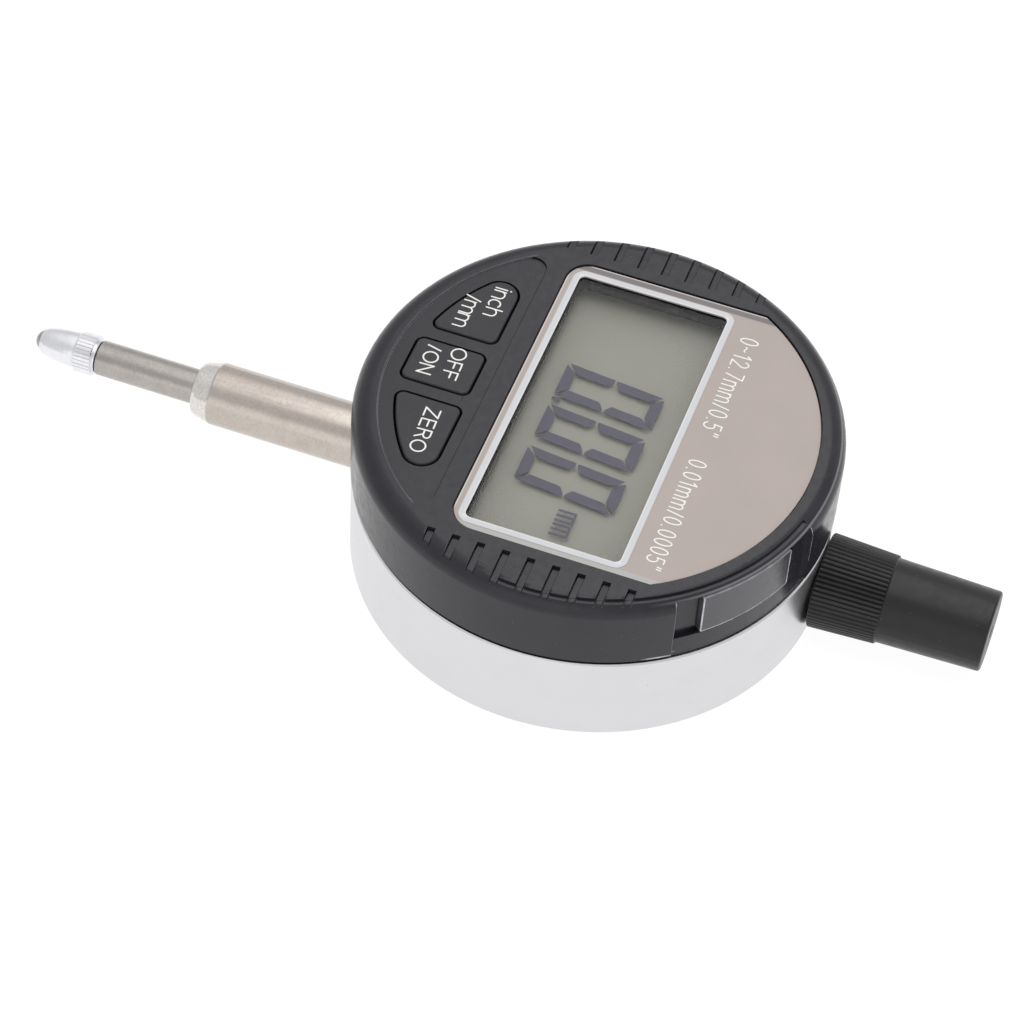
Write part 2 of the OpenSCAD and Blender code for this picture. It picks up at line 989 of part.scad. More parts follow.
// ---- Return spring: a close coil along Y with a loop round each pin ----

wire_r = 0.2;
coil_r = 1.3;
coil_turns = 18;
coil_steps = 14;
coil_from = anchor_y + 2.2;
coil_to = hook_y - 3.6;
loop_r = pin_r + wire_r + 0.12;
loop_steps = 10;

function unit(v) = v / norm(v);
function coil_point(i) =
    let (n = coil_turns * coil_steps, u = i / n, a = 360 * coil_turns * u)
    [spring_x + coil_r * sin(a), coil_from + (coil_to - coil_from) * u, spring_z + coil_r * cos(a)];
// A loop round the pin at y, which opens towards the coil on the side dir.
function loop_point(y, dir, u) =
    let (a = 30 + 300 * u)
    [spring_x + loop_r * sin(a) * dir, y + loop_r * cos(a) * dir, spring_z];
spring_path = concat(
    [for (i = [0 : loop_steps]) loop_point(anchor_y, 1, 1 - i / loop_steps)],
    [[spring_x + 0.3, coil_from - 0.55, spring_z + 0.6]],
    [for (i = [0 : coil_turns * coil_steps]) coil_point(i)],
    [[spring_x - 0.3, coil_to + 0.75, spring_z + 0.6]],
    [for (i = [0 : loop_steps]) loop_point(hook_y, -1, i / loop_steps)]
);

function tangent(p, i) = unit(p[min(i + 1, len(p) - 1)] - p[max(i - 1, 0)]);
function carried(n, t) = unit(n - (n * t) * t);

// A round wire of radius r along the path p, closed at both ends.
module wire(p, r, sides) {
    last = len(p) - 1;
    first = carried([0, 0, 1], tangent(p, 0));
    normals = [for (i = 0, n = first; i <= last; i = i + 1, n = carried(n, tangent(p, min(i, last)))) n];
    points = [
        for (i = [0 : last])
            let (t = tangent(p, i), n = normals[i], b = cross(t, n))
            for (k = [0 : sides - 1])
                p[i] + r * (cos(360 * k / sides) * n + sin(360 * k / sides) * b)
    ];
    walls = [
        for (i = [0 : last - 1], k = [0 : sides - 1])
            let (a = i * sides + k, b = i * sides + (k + 1) % sides)
            [a, a + sides, b + sides, b]
    ];
    polyhedron(
        points = points,
        faces = concat(
            walls,
            [[for (k = [0 : sides - 1]) k]],
            [[for (k = [sides - 1 : -1 : 0]) last * sides + k]]
        )
    );
}

module return_spring() {
    color("silver")
        wire(spring_path, wire_r, 6);
}

// ---- Dust cap ----

module cap_seal_ring() {
    color("#202020")
        along_y(30.05)
            rotate_extrude()
                translate([4.72, 0])
                    circle(r = 0.36);
}

module dust_cap() {
    base_y = 29.62;
    grip_y = 38.1;
    tube_r = 5.32;
    end_r = 5.03;
    round = 0.3;
    color("#2a2a2c")
        difference() {
            translate([0, 0, axis_z])
                rotate([-90, 0, 0])
                    rotate_extrude()
                        polygon([
                            [5.2, base_y], [grip_base_r - 0.15, base_y], [grip_base_r, base_y + 0.15],
                            [grip_end_r, grip_y - 0.1], [grip_end_r - 0.12, grip_y], [tube_r, grip_y + 0.1],
                            [end_r, cap_end - round], [end_r - 0.09, cap_end - 0.09],
                            [end_r - round, cap_end], [0.8, cap_end],
                            [0.8, cap_end - 1.7], [3.4, cap_end - 1.7], [3.4, 35.7], [4.38, 35.7],
                            [4.38, 30.6], [5.2, 30.6]
                        ]);
            grip_grooves(grip_ridges, base_y - 0.1, grip_y + 0.1, grip_base_r, grip_end_r, 0.2);
        }
}

back_case();
back_screws();
front_case();
window_sheet();
window_frame();
window_glass();
lcd_front_glass();
lcd_segments();
lcd_back_glass();
lcd_reflector();
lcd_holder();
zebra_strips();
pcb();
pcb_screws();
asic_chip();
crystal();
chip_capacitors();
stator_plate();
switch_domes();
keypad_rubber();
button_unit();
button_power();
button_zero();
battery_holder();
battery_tray();
battery_cell();
battery_contact_positive();
battery_contact_negative();
stem();
stem_bushings();
stem_wiper();
buffer_washer();
spindle();
contact_point();
contact_ball();
stop_collar();
scale_carrier();
scale_strip();
carrier_screw();
guide_rod();
spring_anchor_pin();
spring_hook_pin();
return_spring();
cap_neck();
cap_seal_ring();
dust_cap();
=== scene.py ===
import math

import bpy
from mathutils import Matrix, Vector


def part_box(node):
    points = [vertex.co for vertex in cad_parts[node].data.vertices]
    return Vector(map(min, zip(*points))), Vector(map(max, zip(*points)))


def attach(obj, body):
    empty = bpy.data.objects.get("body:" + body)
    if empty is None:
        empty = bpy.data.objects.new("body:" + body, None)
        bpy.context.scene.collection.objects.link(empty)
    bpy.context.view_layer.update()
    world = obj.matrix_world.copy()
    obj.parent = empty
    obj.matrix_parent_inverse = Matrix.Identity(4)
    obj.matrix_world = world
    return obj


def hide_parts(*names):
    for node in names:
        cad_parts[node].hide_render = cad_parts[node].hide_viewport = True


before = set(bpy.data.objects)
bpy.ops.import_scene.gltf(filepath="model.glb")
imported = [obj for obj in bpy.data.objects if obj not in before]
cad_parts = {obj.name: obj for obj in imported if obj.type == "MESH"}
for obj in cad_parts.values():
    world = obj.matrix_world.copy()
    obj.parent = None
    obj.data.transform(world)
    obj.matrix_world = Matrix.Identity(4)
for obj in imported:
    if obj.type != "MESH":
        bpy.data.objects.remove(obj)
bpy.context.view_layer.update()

MM = 0.001

# Places on the CAD model, in millimetres and degrees round its upright axis from +X.
FACE_Z = 24.5
FRONT_LOW_Z = 14.47     # lower edge of the black wall, over the seam
HATCH_FROM, HATCH_TO = 36.6, 76.75
TRAY_TURN = 56.1
COVER_HALF_TURN = 12.6
COVER_LOW_Z, COVER_TOP_Z = 17.04, 23.35
PAD_EDGE_R = 26.54
VIEW_SHIFT = 0.2        # the display opening is this far off centre, towards +X
VIEW_HALF_X, VIEW_HALF_Y = 20.7, 9.55
STEM_NOSE_Y = -49.7

# Painted highlight: the bright colour painted along edges and lips where light catches them.
PAINTED_EDGE_HIGHLIGHT = (206, 206, 212)


# ---------------------------------------------------------------- materials

def linear(rgb):
    """An sRGB colour, 0 to 255, as the linear colour that a shader takes."""
    out = []
    for c in rgb:
        c /= 255
        out.append(c / 12.92 if c <= 0.04045 else ((c + 0.055) / 1.055) ** 2.4)
    return (*out, 1.0)


class Surface:
    """A procedural material: a Principled shader, with helpers for the detail on it."""

    def __init__(self, name, colour, rough, metal=0.0, **fixed):
        self.mat = bpy.data.materials.new(name)
        self.mat.use_nodes = True
        self.tree = self.mat.node_tree
        self.shader = self.tree.nodes["Principled BSDF"]
        self.place = self.new("ShaderNodeTexCoord").outputs["Object"]
        self.put("Base Color", linear(colour))
        self.put("Roughness", rough)
        self.put("Metallic", metal)
        for key, value in fixed.items():
            self.put(key.replace("_", " "), value)

    def new(self, kind, **settings):
        n = self.tree.nodes.new(kind)
        for key, value in settings.items():
            setattr(n, key, value)
        return n

    def put(self, socket, value):
        self.shader.inputs[socket].default_value = value

    def join(self, a, b):
        self.tree.links.new(a, b)
        return self

    def scaled(self, scale, place=None):
        """The place on the surface times scale, which is one number or one for each axis."""
        m = self.new("ShaderNodeMapping")
        m.inputs["Scale"].default_value = scale if isinstance(scale, tuple) else (scale,) * 3
        self.join(place or self.place, m.inputs["Vector"])
        return m.outputs["Vector"]

    def noise(self, scale, detail=3.0, rough=0.5, place=None):
        n = self.new("ShaderNodeTexNoise")
        n.inputs["Scale"].default_value = 1.0
        n.inputs["Detail"].default_value = detail
        n.inputs["Roughness"].default_value = rough
        self.join(self.scaled(scale, place), n.inputs["Vector"])
        return n.outputs["Fac"]

    def spots(self, scale, size):
        """Small separate specks, 1 on a speck and 0 elsewhere."""
        v = self.new("ShaderNodeTexVoronoi", feature="F1")
        v.inputs["Scale"].default_value = 1.0
        self.join(self.scaled(scale), v.inputs["Vector"])
        return self.between(v.outputs["Distance"], size, size * 0.4, 0.0, 1.0)

    def between(self, value, a, b, low, high):
        """Maps a..b of value on to low..high, clamped."""
        m = self.new("ShaderNodeMapRange", clamp=True)
        for key, v in (("From Min", a), ("From Max", b), ("To Min", low), ("To Max", high)):
            m.inputs[key].default_value = v
        self.join(value, m.inputs["Value"])
        return m.outputs["Result"]

    def maths(self, operation, a, b=None):
        m = self.new("ShaderNodeMath", operation=operation)
        for value, socket in zip((a, b), m.inputs):
            if isinstance(value, float):
                socket.default_value = value
            elif value:
                self.join(value, socket)
        return m.outputs[0]

    def times(self, first, *others):
        """The product of all the values."""
        for value in others:
            first = self.maths("MULTIPLY", first, value)
        return first

    def distance(self, value, place):
        """How far value is from place, on either side."""
        return self.maths("ABSOLUTE", self.maths("SUBTRACT", value, place))

    def tint(self, factor, colour):
        """Mixes the base colour towards colour by factor."""
        base = self.shader.inputs["Base Color"]
        m = self.new("ShaderNodeMix", data_type="RGBA")
        m.inputs[7].default_value = linear(colour)
        if base.links:
            self.join(base.links[0].from_socket, m.inputs[6])
        else:
            m.inputs[6].default_value = base.default_value
        self.join(factor, m.inputs[0])
        self.join(m.outputs[2], base)
        return self

    def rough(self, value):
        return self.join(value, self.shader.inputs["Roughness"])

    def bump(self, height, distance):
        """Relief of the given height map, distance (mm) deep, on top of any that is there."""
        b = self.new("ShaderNodeBump")
        b.inputs["Strength"].default_value = 1.0
        b.inputs["Distance"].default_value = distance * MM
        self.join(height, b.inputs["Height"])
        normal = self.shader.inputs["Normal"]
        if normal.links:
            self.join(normal.links[0].from_socket, b.inputs["Normal"])
        self.join(b.outputs["Normal"], normal)
        return self

    def axis(self, letter):
        s = self.new("ShaderNodeSeparateXYZ")
        self.join(self.place, s.inputs[0])
        return s.outputs[letter]

    def line(self, value, place, half):
        """1 where value is at place, fading to 0 at half away from it."""
        return self.between(self.distance(value, place), half, half * 0.35, 0.0, 1.0)

    def radius(self, at_x=0.0, at_y=0.0):
        """The distance from an upright axis, the object's own unless another is given."""
        x = self.maths("SUBTRACT", self.axis("X"), at_x)
        y = self.maths("SUBTRACT", self.axis("Y"), at_y)
        return self.maths("SQRT", self.maths("ADD", self.times(x, x), self.times(y, y)))

    def polar(self):
        """The angle round the object's axis, in degrees from +X towards +Y."""
        return self.times(self.maths("ARCTAN2", self.axis("Y"), self.axis("X")), math.degrees(1))


def moulding(name, colour, rough, grain, depth, gloss=0.36):
    """A moulded or pressed material: fine grain, faint mottling, a little dust."""
    s = Surface(name, colour, rough, Specular_IOR_Level=gloss)
    mottle = s.noise(260.0, 4.0, 0.6)
    s.tint(s.between(mottle, 0.35, 0.75, 0.0, 0.5), tuple(c + 9 for c in colour))
    s.tint(s.spots(900.0, 0.06), tuple(c + 70 for c in colour))
    s.rough(s.between(s.noise(900.0, 2.0), 0.3, 0.7, rough - 0.05, rough + 0.06))
    return s.bump(s.noise(grain, 2.0, 0.6), depth)


def metal(name, colour, rough, along, across, letter, depth, mottle):
    """Ground or turned metal with lines that run along one axis, and patches of a second shade."""
    s = Surface(name, colour, rough, 1.0)
    scale = [across] * 3
    scale["XYZ".index(letter)] = along
    lines = s.noise(tuple(scale), 3.0, 0.7)
    s.rough(s.between(lines, 0.25, 0.75, rough - 0.06, rough + 0.08))
    s.bump(lines, depth)
    return s.tint(s.between(s.noise(420.0, 4.0, 0.65), 0.42, 0.7, 0.0, 0.8), mottle)


def turned_aluminium():
    """The bright case: fine turning lines round its axis, on the wall and on the flat back."""
    s = Surface("ring_aluminium", (223, 223, 225), 0.34, 1.0)
    lines = s.noise((60.0, 60.0, 9000.0), 3.0, 0.7)
    s.rough(s.between(lines, 0.25, 0.75, 0.28, 0.42))
    s.bump(lines, 0.002)
    out = s.new("ShaderNodeCombineXYZ")
    s.join(s.radius(), out.inputs["X"])
    rings = s.noise(2600.0, 3.0, 0.7, out.outputs[0])
    s.bump(rings, 0.004)
    s.tint(s.between(rings, 0.35, 0.65, 0.0, 0.35), (205, 205, 208))
    s.tint(s.between(s.noise(190.0, 3.0), 0.4, 0.75, 0.0, 0.6), (214, 214, 217))
    return s.tint(s.spots(330.0, 0.035), (184, 183, 185))


def clear_pane(name, tint, gloss, index):
    """A thin clear pane: it lets light straight through, and reflects by Fresnel on the way in."""
    mat = bpy.data.materials.new(name)
    mat.use_nodes = True
    tree = mat.node_tree
    tree.nodes.remove(tree.nodes["Principled BSDF"])
    through = tree.nodes.new("ShaderNodeBsdfTransparent")
    through.inputs["Color"].default_value = tint
    mirror = tree.nodes.new("ShaderNodeBsdfGlossy")
    mirror.inputs["Roughness"].default_value = gloss
    fresnel = tree.nodes.new("ShaderNodeFresnel")
    fresnel.inputs["IOR"].default_value = index
    inside = tree.nodes.new("ShaderNodeNewGeometry").outputs["Backfacing"]
    outside = tree.nodes.new("ShaderNodeMath")
    outside.operation = "SUBTRACT"
    outside.use_clamp = True
    tree.links.new(fresnel.outputs[0], outside.inputs[0])
    tree.links.new(inside, outside.inputs[1])
    mix = tree.nodes.new("ShaderNodeMixShader")
    tree.links.new(outside.outputs[0], mix.inputs[0])
    tree.links.new(through.outputs[0], mix.inputs[1])
    tree.links.new(mirror.outputs[0], mix.inputs[2])
    tree.links.new(mix.outputs[0], tree.nodes["Material Output"].inputs["Surface"])
    return mat


def case_plastic():
    """The black front case, with painted highlights along its edges and painted shade in its thumb
    notch.
    """
    s = moulding("case_plastic", (33, 32, 39), 0.24, 5200.0, 0.002, 0.38)
    z, turn, r = s.axis("Z"), s.polar(), s.radius()
    patchy = s.between(s.noise(700.0), 0.35, 0.6, 0.35, 1.0)

    # Painted highlights: bright lines on the upright edges at both ends of the battery hatch, and
    # on the lower edge.
    below_rim = s.between(z, 23.7 * MM, 23.4 * MM, 0.0, 1.0)
    for place, low, half, strength in ((HATCH_FROM, 13.6, 0.2, 0.9), (HATCH_TO, 17.4, 0.13, 0.8)):
        upright = s.times(s.line(turn, place, half), below_rim)
        part = s.between(z, low * MM, (low + 0.3) * MM, 0.0, strength)
        s.tint(s.times(upright, part, patchy), PAINTED_EDGE_HIGHLIGHT)
    seam = s.times(s.line(z, FRONT_LOW_Z * MM, 0.17 * MM), s.line(turn, HATCH_FROM - 3.0, 4.4))
    s.tint(s.times(seam, patchy, 0.9), PAINTED_EDGE_HIGHLIGHT)

    # Painted highlights: soft pale lines on the lip of the ledge over the hatch and on the round
    # edge of the key pad.
    ledge = s.times(s.line(r, 29.1 * MM, 0.22 * MM), s.line(z, 23.9 * MM, 0.4 * MM))
    s.tint(s.times(ledge, s.between(turn, 30.0, 48.0, 0.0, 1.0), 0.75), (150, 149, 155))
    pad = s.times(s.line(r, PAD_EDGE_R * MM, 0.13 * MM),
                  s.between(s.axis("Y"), -15.4 * MM, -16.6 * MM, 0.0, 0.7))
    s.tint(s.times(pad, s.between(z, 23.5 * MM, 24.0 * MM, 0.0, 1.0)), (128, 127, 133))

    # Painted shade: the thumb notch is darkened inside, towards the hatch cover.
    height = s.times(s.between(z, 16.8 * MM, 17.0 * MM, 0.0, 1.0),
                     s.between(z, 23.5 * MM, 23.6 * MM, 1.0, 0.0))
    notch = s.times(s.between(turn, 38.5, 42.5, 0.0, 1.0), s.between(turn, 43.6, 43.9, 1.0, 0.0),
                    s.between(r, 28.8 * MM, 29.0 * MM, 1.0, 0.0))
    return s.tint(s.times(notch, height), (9, 9, 10))


def cover_plastic():
    """The hatch cover, with painted highlights along its edges."""
    s = moulding("cover_plastic", (60, 59, 65), 0.24, 5200.0, 0.002, 0.6)
    z = s.axis("Z")
    patchy = s.between(s.noise(700.0), 0.3, 0.6, 0.35, 1.0)
    # Painted highlights on its lower and top edges and on its upright sides.
    across = s.maths("MAXIMUM", s.line(z, COVER_LOW_Z * MM, 0.2 * MM),
                     s.times(s.line(z, COVER_TOP_Z * MM, 0.15 * MM), 0.4))
    upright = s.line(s.distance(s.polar(), TRAY_TURN), COVER_HALF_TURN, 0.26)
    return s.tint(s.times(s.maths("MAXIMUM", across, upright), patchy), PAINTED_EDGE_HIGHLIGHT)


def face_sheet():
    """The printed sheet. Its margin beside the window is rounded over, with painted light on it:
    a painted highlight on the +X side, painted shade on the -X side, and a bright painted highlight
    line where it ends."""
    s = Surface("face_sheet", (175, 163, 157), 0.42)
    s.tint(s.between(s.noise(120.0, 3.0), 0.35, 0.7, 0.0, 0.6), (169, 158, 152))
    s.bump(s.noise(3200.0, 2.0), 0.002)
    # Painted light on the margin: painted highlights, painted shade, and bright painted highlight
    # lines at its edges.
    painted_margin_light = (
        ("X", 21.6, 21.75, 0.9, (178, 178, 176)), ("X", 22.3, 22.36, 0.6, (200, 200, 198)),
        ("X", -21.35, -21.5, 0.9, (114, 109, 109)), ("X", -22.2, -22.3, 0.9, (206, 202, 202)),
        ("Y", -10.9, -11.02, 0.9, (216, 212, 209)),
    )
    for letter, start, full, strength, shade in painted_margin_light:
        s.tint(s.between(s.axis(letter), start * MM, full * MM, 0.0, strength), shade)
    return s


def frame_print():
    """The printed line round the window: a painted highlight on its inner edge and a dim outer one.
    """
    s = Surface("frame_print", (204, 206, 209), 0.4)
    s.tint(s.between(s.noise(400.0), 0.4, 0.7, 0.0, 0.5), (198, 199, 203))
    out_x = s.distance(s.axis("X"), VIEW_SHIFT * MM)
    out_y = s.distance(s.axis("Y"), 0.0)
    from_edge = s.maths("MAXIMUM", s.maths("SUBTRACT", out_x, VIEW_HALF_X * MM),
                        s.maths("SUBTRACT", out_y, VIEW_HALF_Y * MM))
    # Painted highlight along the inner edge.
    s.tint(s.between(from_edge, 0.2 * MM, 0.12 * MM, 0.0, 1.0), (218, 218, 220))
    return s.tint(s.between(from_edge, 0.74 * MM, 0.8 * MM, 0.0, 0.5), (176, 172, 170))


def legend_print():
    s = Surface("legend_print", (240, 238, 234), 0.5)
    return s.tint(s.between(s.noise(1500.0), 0.4, 0.7, 0.0, 0.5), (226, 224, 221))


def display_reflector():
    s = Surface("lcd_reflector", (155, 154, 145), 0.7)
    s.tint(s.between(s.noise(70.0, 3.0), 0.35, 0.7, 0.0, 0.7), (153, 152, 143))
    return s.tint(s.between(s.noise(9000.0, 1.0), 0.4, 0.6, 0.0, 0.1), (142, 141, 134))


def display_segments():
    s = Surface("lcd_segments", (70, 68, 90), 0.6)
    return s.tint(s.between(s.noise(500.0), 0.35, 0.7, 0.0, 0.6), (76, 74, 95))


def dull_grain(s):
    """Fine dull patches, as on a ground bar."""
    return s.between(s.noise(2600.0, 4.0, 0.7), 0.42, 0.68, 0.0, 0.36)


def stem_steel():
    """The stem, with a bright chamfer at its nose."""
    s = metal("stem_steel", (198, 189, 181), 0.17, 180.0, 5200.0, "Y", 0.002, (188, 178, 171))
    nose = s.between(s.axis("Y"), STEM_NOSE_Y * MM, (STEM_NOSE_Y - 0.2) * MM, 0.0, 1.0)
    s.tint(nose, (228, 225, 222))
    return s.tint(dull_grain(s), (168, 160, 153))


def spindle_steel():
    s = metal("spindle_steel", (181, 176, 171), 0.19, 140.0, 6000.0, "Y", 0.002, (170, 164, 159))
    return s.tint(dull_grain(s), (150, 145, 141))


def cell_can():
    """The button cell: lathe rings, with the dark gasket and the bright crimp round its top."""
    s = metal("cell_can", (168, 168, 172), 0.3, 1500.0, 1500.0, "Z", 0.002, (150, 150, 155))
    low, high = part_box("battery_cell")
    r = s.radius((low[0] + high[0]) / 2, (low[1] + high[1]) / 2)
    s.bump(s.maths("SINE", s.times(r, 42000.0)), 0.001)
    s.tint(s.line(r, 4.9 * MM, 0.16 * MM), (70, 70, 74))
    return s.tint(s.line(r, 4.5 * MM, 0.2 * MM), (216, 216, 220))


def circuit_board():
    s = Surface("board_green", (28, 84, 52), 0.4)
    s.tint(s.between(s.noise((2600.0, 2600.0, 400.0)), 0.45, 0.6, 0.0, 0.5), (36, 100, 62))
    return s.bump(s.noise(2400.0), 0.01)


def capacitor_ceramic():
    s = Surface("capacitor_ceramic", (172, 146, 112), 0.55)
    return s.tint(s.between(s.noise(2600.0), 0.4, 0.65, 0.0, 0.6), (150, 126, 96))


black = moulding("black_plastic", (40, 39, 45), 0.3, 5200.0, 0.002)
key_black = moulding("key_plastic", (43, 43, 48), 0.34, 6000.0, 0.003)
rubber = moulding("black_rubber", (38, 38, 40), 0.75, 2600.0, 0.01)
steel = metal("fastener_steel", (168, 168, 172), 0.32, 2500.0, 2500.0, "Z", 0.003, (146, 146, 152))
brass = metal("bush_brass", (206, 170, 98), 0.34, 300.0, 4000.0, "Y", 0.003, (186, 150, 84))
gilt = metal("gilt_copper", (214, 172, 92), 0.3, 1500.0, 1500.0, "X", 0.002, (196, 156, 84))
print_white = legend_print()
window_pane = clear_pane("window_pane", (0.97, 0.97, 0.965, 1), 0.08, 1.34)
lcd_pane = clear_pane("lcd_pane", (0.985, 0.985, 0.98, 1), 0.2, 1.2)

finishes = {
    "back_case": turned_aluminium(),
    "front_case": case_plastic(),
    "window_sheet": face_sheet(),
    "window_frame": frame_print(),
    "lcd_segments": display_segments(),
    "lcd_reflector": display_reflector(),
    "lcd_holder": moulding("holder_plastic", (205, 205, 203), 0.5, 3600.0, 0.004),
    "pcb": circuit_board(),
    "asic_chip": moulding("chip_resin", (22, 22, 24), 0.3, 2000.0, 0.003),
    "crystal": metal("crystal_can", (205, 206, 208), 0.24, 1500.0, 1500.0, "Z", 0.002,
                     (190, 191, 195)),
    "chip_capacitors": capacitor_ceramic(),
    "battery_tray": cover_plastic(),
    "battery_cell": cell_can(),
    "stem": stem_steel(),
    "stem_wiper": moulding("felt", (46, 45, 44), 0.95, 9000.0, 0.05),
    "spindle": spindle_steel(),
    "contact_point": metal("point_chrome", (238, 238, 241), 0.2, 900.0, 300.0, "Y", 0.002,
                           (226, 227, 232)),
    "contact_ball": metal("ball_carbide", (170, 170, 174), 0.3, 900.0, 900.0, "Y", 0.002,
                          (150, 150, 156)),
    "cap_neck": metal("neck_blackened", (52, 50, 48), 0.4, 300.0, 4000.0, "Y", 0.003,
                      (70, 64, 56)),
    "dust_cap": moulding("cap_plastic", (26, 26, 28), 0.36, 4200.0, 0.003),
}
shared = (
    (black, ("battery_holder", "scale_carrier")),
    (key_black, ("button_unit", "button_power", "button_zero")),
    (rubber, ("zebra_strips", "keypad_rubber", "buffer_washer", "cap_seal_ring")),
    (steel, ("back_screws", "pcb_screws", "switch_domes", "stop_collar", "carrier_screw",
             "guide_rod", "return_spring")),
    (brass, ("stem_bushings", "spring_anchor_pin", "spring_hook_pin")),
    (gilt, ("stator_plate", "battery_contact_positive", "battery_contact_negative",
            "scale_strip")),
)
for surface, names in shared:
    finishes.update(dict.fromkeys(names, surface))
materials = {name: surface.mat for name, surface in finishes.items()}
materials["window_glass"] = window_pane
materials["lcd_front_glass"] = materials["lcd_back_glass"] = lcd_pane
for name, material in materials.items():
    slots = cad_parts[name].data.materials
    slots.clear()
    slots.append(material)


def soften(name, width, segments=2):
    """Rounds the sharp edges of a CAD node over width (mm), as moulding and handling do."""
    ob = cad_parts[name]
    normals = ob.data.attributes.get("custom_normal")
    if normals:
        ob.data.attributes.remove(normals)
    ob.data.shade_smooth()
    weld = ob.modifiers.new("weld", "WELD")
    weld.merge_threshold = 0.002 * MM
    flat = ob.modifiers.new("flat", "DECIMATE")
    flat.decimate_type = "DISSOLVE"
    flat.angle_limit = math.radians(0.4)
    edge = ob.modifiers.new("edge", "BEVEL")
    edge.width = width * MM
    edge.segments = segments
    edge.limit_method = "ANGLE"
    edge.angle_limit = math.radians(38)
    ob.modifiers.new("shade", "WEIGHTED_NORMAL").weight = 100


soften("front_case", 0.13)
for name in ("button_unit", "button_power", "button_zero"):
    soften(name, 0.3, 3)
soften("battery_tray", 0.1)
soften("back_case", 0.1)
soften("window_sheet", 0.06)


# ---------------------------------------------------------------- pieces

def arc(cx, cy, rx, ry, a0, a1, steps=14):
    """Points on an ellipse from angle a0 to a1, in degrees."""
    out = []
    for i in range(steps + 1):
        a = math.radians(a0 + (a1 - a0) * i / steps)
        out.append((cx + rx * math.cos(a), cy + ry * math.sin(a)))
    return out


X_HEIGHT = 0.74


def hump(x0, x1, bottom=0.0):
    """The arch of an n: from the stem over to the right and down."""
    r = (x1 - x0) / 2
    top = X_HEIGHT - r * 1.1
    return arc(x0 + r, top, r, r * 1.1, 180, 0, 10) + [(x1, bottom)]


# Each glyph is a width and its strokes, on a cap height of 1 with the baseline at 0.
GLYPHS = {
    "0": (0.56, [arc(0.28, 0.5, 0.28, 0.5, 90, 450, 32)]),
    "1": (0.34, [[(0.04, 0.78), (0.26, 1.0)], [(0.26, 1.0), (0.26, 0.0)]]),
    "2": (0.56, [arc(0.28, 0.72, 0.27, 0.28, 165, -18, 14) + [(0.02, 0.0)],
                 [(0.02, 0.0), (0.56, 0.0)]]),
    "5": (0.56, [[(0.5, 1.0), (0.1, 1.0)], [(0.1, 1.0), (0.05, 0.55)],
                 [(0.05, 0.55)] + arc(0.25, 0.31, 0.3, 0.31, 118, -150, 18)]),
    "7": (0.54, [[(0.0, 1.0), (0.54, 1.0)], [(0.54, 1.0), (0.2, 0.0)]]),
    ".": (0.1, [[(0.05, 0.0), (0.05, 0.03)]]),
    "~": (0.5, [arc(0.13, 0.44, 0.13, 0.07, 165, 20, 8)
                + arc(0.37, 0.5, 0.13, 0.07, 200, 345, 8)]),
    '"': (0.3, [[(0.06, 1.0), (0.02, 0.76)], [(0.28, 1.0), (0.24, 0.76)]]),
    "/": (0.3, [[(0.02, 0.0), (0.26, 0.96)]]),
    "i": (0.06, [[(0.03, 0.0), (0.03, X_HEIGHT)], [(0.03, 0.97), (0.03, 1.0)]]),
    "n": (0.52, [[(0.0, 0.0), (0.0, X_HEIGHT)], hump(0.0, 0.52)]),
    "m": (0.94, [[(0.0, 0.0), (0.0, X_HEIGHT)], hump(0.0, 0.47), hump(0.47, 0.94)]),
    "h": (0.52, [[(0.0, 0.0), (0.0, 1.04)], hump(0.0, 0.52)]),
    "c": (0.5, [arc(0.28, X_HEIGHT / 2, 0.28, X_HEIGHT / 2, 52, 308, 20)]),
    "O": (0.92, [arc(0.46, 0.5, 0.46, 0.5, 90, 450, 40)]),
    "F": (0.58, [[(0.0, 0.0), (0.0, 1.0)], [(0.0, 1.0), (0.58, 1.0)], [(0.0, 0.52), (0.5, 0.52)]]),
    "N": (0.76, [[(0.0, 0.0), (0.0, 1.0)], [(0.0, 1.0), (0.76, 0.0)], [(0.76, 0.0), (0.76, 1.0)]]),
    "Z": (0.7, [[(0.04, 1.0), (0.68, 1.0)], [(0.68, 1.0), (0.0, 0.0)], [(0.0, 0.0), (0.7, 0.0)]]),
    "E": (0.62, [[(0.0, 0.0), (0.0, 1.0)], [(0.0, 1.0), (0.6, 1.0)], [(0.0, 0.53), (0.55, 0.53)],
                 [(0.0, 0.0), (0.62, 0.0)]]),
    "R": (0.68, [[(0.0, 0.0), (0.0, 1.0)],
                 [(0.0, 1.0), (0.38, 1.0)] + arc(0.38, 0.76, 0.26, 0.24, 85, -90, 10)
                 + [(0.0, 0.52)],
                 [(0.36, 0.52), (0.68, 0.0)]]),
}


class Build:
    """Collects vertices and faces, in millimetres, and makes one mesh object of them."""

    def __init__(self):
        self.verts, self.faces = [], []

    def point(self, x, y, z):
        self.verts.append((x * MM, y * MM, z * MM))
        return len(self.verts) - 1

    def make(self, name, body, material):
        me = bpy.data.meshes.new(name)
        me.from_pydata(self.verts, [], self.faces)
        me.validate()
        me.materials.append(material)
        ob = bpy.data.objects.new(name, me)
        bpy.context.scene.collection.objects.link(ob)
        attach(ob, body)
        return ob


